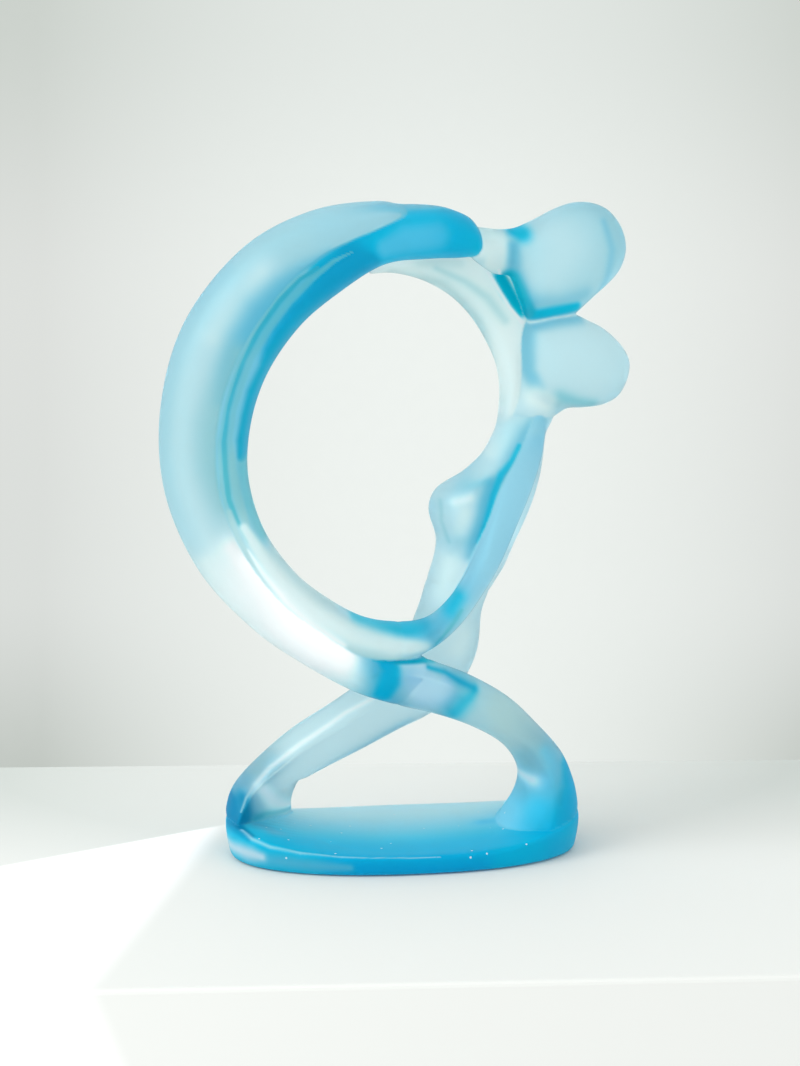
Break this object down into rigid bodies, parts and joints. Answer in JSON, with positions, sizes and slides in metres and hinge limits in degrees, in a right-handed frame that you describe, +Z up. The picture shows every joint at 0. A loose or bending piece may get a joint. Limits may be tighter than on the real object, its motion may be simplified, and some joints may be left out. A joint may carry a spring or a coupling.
{
  "type": "two-figure glass sculpture",
  "caption": "Tabletop sculpture in frosted blue glass: a tall abstract figure bends in a ring round a small one, on an oval base.",
  "frame": {"origin": "middle of the base's flat underside", "axes": "+Z up, +X towards the heads, -Y towards the viewer, with the ring in the plane of X and Z"},
  "size_m": [0.2095, 0.09, 0.2918],
  "materials": {
    "frosted_glass": "frosted, translucent"
  },
  "bodies": {
    "root": {"base_plinth": "frosted_glass", "tall_figure_leg": "frosted_glass", "tall_figure_back": "frosted_glass", "tall_figure_upper_arm": "frosted_glass", "tall_figure_forearm": "frosted_glass", "tall_figure_head": "frosted_glass", "small_figure_leg": "frosted_glass", "small_figure_torso": "frosted_glass", "small_figure_head": "frosted_glass", "small_figure_arm": "frosted_glass"}
  },
  "joints": []
}
